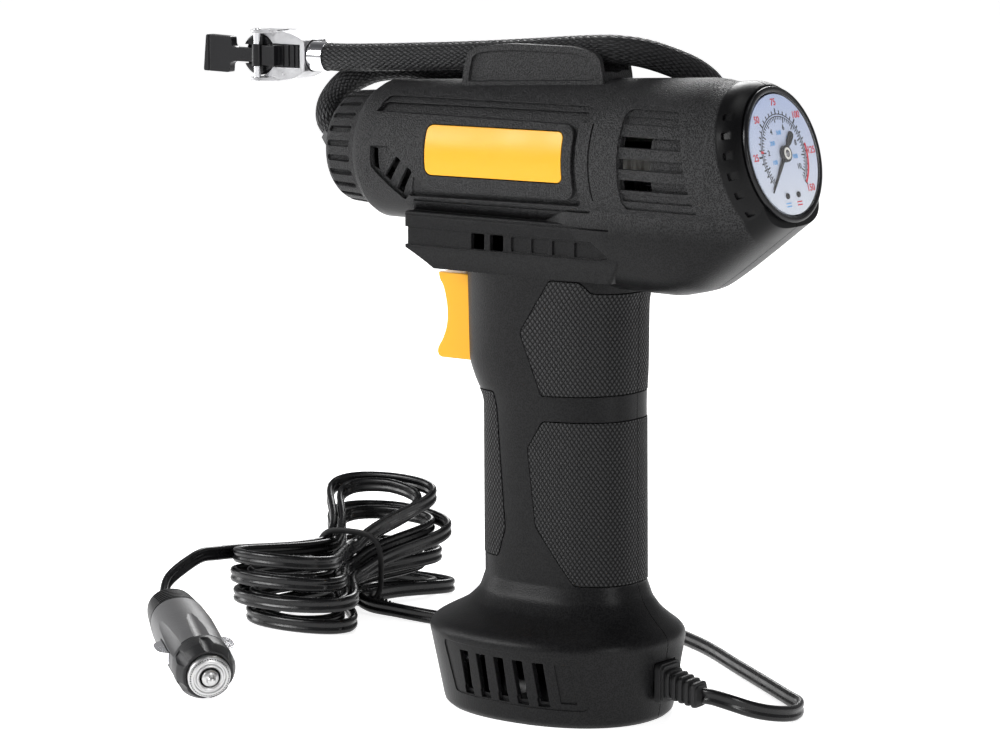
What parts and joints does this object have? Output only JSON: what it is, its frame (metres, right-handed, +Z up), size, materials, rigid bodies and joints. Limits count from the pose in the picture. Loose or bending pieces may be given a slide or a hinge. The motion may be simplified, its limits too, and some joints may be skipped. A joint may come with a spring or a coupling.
{
  "type": "portable tire inflator",
  "caption": "Pistol-grip 12 V air pump with a tilted pressure gauge, squeeze trigger, braided hose with thumb-lock chuck, and a tied flat power cord with a lighter-socket plug.",
  "frame": {"origin": "middle of the flat underside of the base", "axes": "+X along the barrel towards the gauge, +Z up, +Y towards the half that the screws enter"},
  "size_m": [0.2721, 0.2022, 0.2255],
  "materials": {
    "black_plastic": "fine grain",
    "needle_black": "satin paint",
    "grip_rubber": "textured, dull",
    "yellow_plastic": "satin",
    "lens": "clear",
    "dial_paint": "printed, satin",
    "brass": "turned",
    "steel": "plated",
    "white_plastic": "natural nylon",
    "aluminium": "die cast",
    "grey_plastic": "satin",
    "hose_braid": "braided sleeve",
    "chrome": "polished",
    "cord_pvc": "glossy twin flex"
  },
  "bodies": {
    "housing": {"housing_left": "black_plastic", "housing_right": "black_plastic", "side_panel_left": "yellow_plastic", "side_panel_right": "yellow_plastic", "grip_upper_left": "grip_rubber", "grip_upper_right": "grip_rubber", "grip_lower_left": "grip_rubber", "grip_lower_right": "grip_rubber", "grip_front_left": "grip_rubber", "grip_front_right": "grip_rubber", "nose_cap": "black_plastic", "hose_outlet": "black_plastic", "gauge_bezel": "black_plastic", "gauge_case": "black_plastic", "gauge_lens": "lens", "gauge_dial": "dial_paint", "bourdon_tube": "brass", "gauge_connector": "brass", "motor_can": "steel", "motor_endcap": "white_plastic", "gearbox_frame": "aluminium", "gear_axle": "steel", "cylinder": "aluminium", "cylinder_head": "aluminium", "outlet_tube": "white_plastic", "gauge_tube": "white_plastic", "switch_body": "grey_plastic", "trigger_spring": "steel", "supply_wires": "grip_rubber", "motor_wires": "grip_rubber", "hose": "hose_braid", "hose_ferrule": "chrome", "chuck_body": "chrome", "chuck_socket": "grip_rubber", "chuck_pin": "chrome", "housing_screw_1": "steel", "housing_screw_2": "steel", "housing_screw_3": "steel", "housing_screw_4": "steel", "strain_relief": "grip_rubber", "power_cord_lead": "cord_pvc", "power_cord_hank": "cord_pvc", "power_cord_tail": "cord_pvc", "twist_tie": "grip_rubber", "plug_cap": "chrome", "plug_nose": "grey_plastic", "plug_body": "grey_plastic"},
    "trigger": {"trigger": "yellow_plastic"},
    "needle": {"gauge_needle": "needle_black"},
    "rotor": {"rotor_shaft": "steel", "pinion": "brass"},
    "crank": {"crank_gear": "white_plastic"},
    "piston": {"piston": "aluminium", "piston_seal": "grip_rubber"},
    "rod": {"conn_rod": "aluminium", "crank_pin": "steel"},
    "lever": {"chuck_lever": "black_plastic"},
    "plug_tip_pin": {"plug_tip": "chrome"},
    "contact_left": {"plug_contact_left": "chrome"},
    "contact_right": {"plug_contact_right": "chrome"}
  },
  "joints": [
    {"name": "trigger_pull", "type": "slide", "parent": "housing", "child": "trigger", "axis": [1, 0, 0], "range_m": [0, 0.005], "stiffness_N_per_m": 800, "springref_m": -0.003, "deforming": ["trigger_spring"]},
    {"name": "needle_turn", "type": "hinge", "parent": "housing", "child": "needle", "pos_m": [0.0863, 0, 0.1908], "axis": [0.9659, 0, 0.2588], "range_deg": [-270, 0], "stiffness_Nm_per_rad": 0.0002, "springref_deg": 11.46},
    {"name": "rotor_spin", "type": "hinge", "parent": "housing", "child": "rotor", "pos_m": [0.046, 0, 0.1634], "axis": [0, 0, 1], "continuous": true},
    {"name": "crank_spin", "type": "hinge", "parent": "housing", "child": "crank", "pos_m": [0.0235, 0, 0.1851], "axis": [0, 0, 1], "continuous": true},
    {"name": "piston_stroke", "type": "slide", "parent": "housing", "child": "piston", "axis": [1, 0, 0], "range_m": [0, 0.012]},
    {"name": "rod_swing", "type": "hinge", "parent": "piston", "child": "rod", "pos_m": [-0.0245, 0, 0.1892], "axis": [0, 0, 1], "range_deg": [-8.2, 8.2]},
    {"name": "lever_lock", "type": "hinge", "parent": "housing", "child": "lever", "pos_m": [-0.1202, -0.008, 0.2136], "axis": [0, 0, 1], "range_deg": [0, 90]},
    {"name": "tip_press", "type": "slide", "parent": "housing", "child": "plug_tip_pin", "axis": [-0.7801, 0.5986, 0.1822], "range_m": [0, 0.003], "stiffness_N_per_m": 400, "springref_m": -0.003},
    {"name": "contact_left_press", "type": "slide", "parent": "housing", "child": "contact_left", "axis": [0.6088, 0.7934, 0], "range_m": [0, 0.0012], "stiffness_N_per_m": 500, "springref_m": -0.001},
    {"name": "contact_right_press", "type": "slide", "parent": "housing", "child": "contact_right", "axis": [-0.6088, -0.7934, 0], "range_m": [0, 0.0012], "stiffness_N_per_m": 500, "springref_m": -0.001}
  ],
  "couplings": [
    {"joint": "crank_spin", "follows": "rotor_spin", "ratio": -0.25}
  ]
}
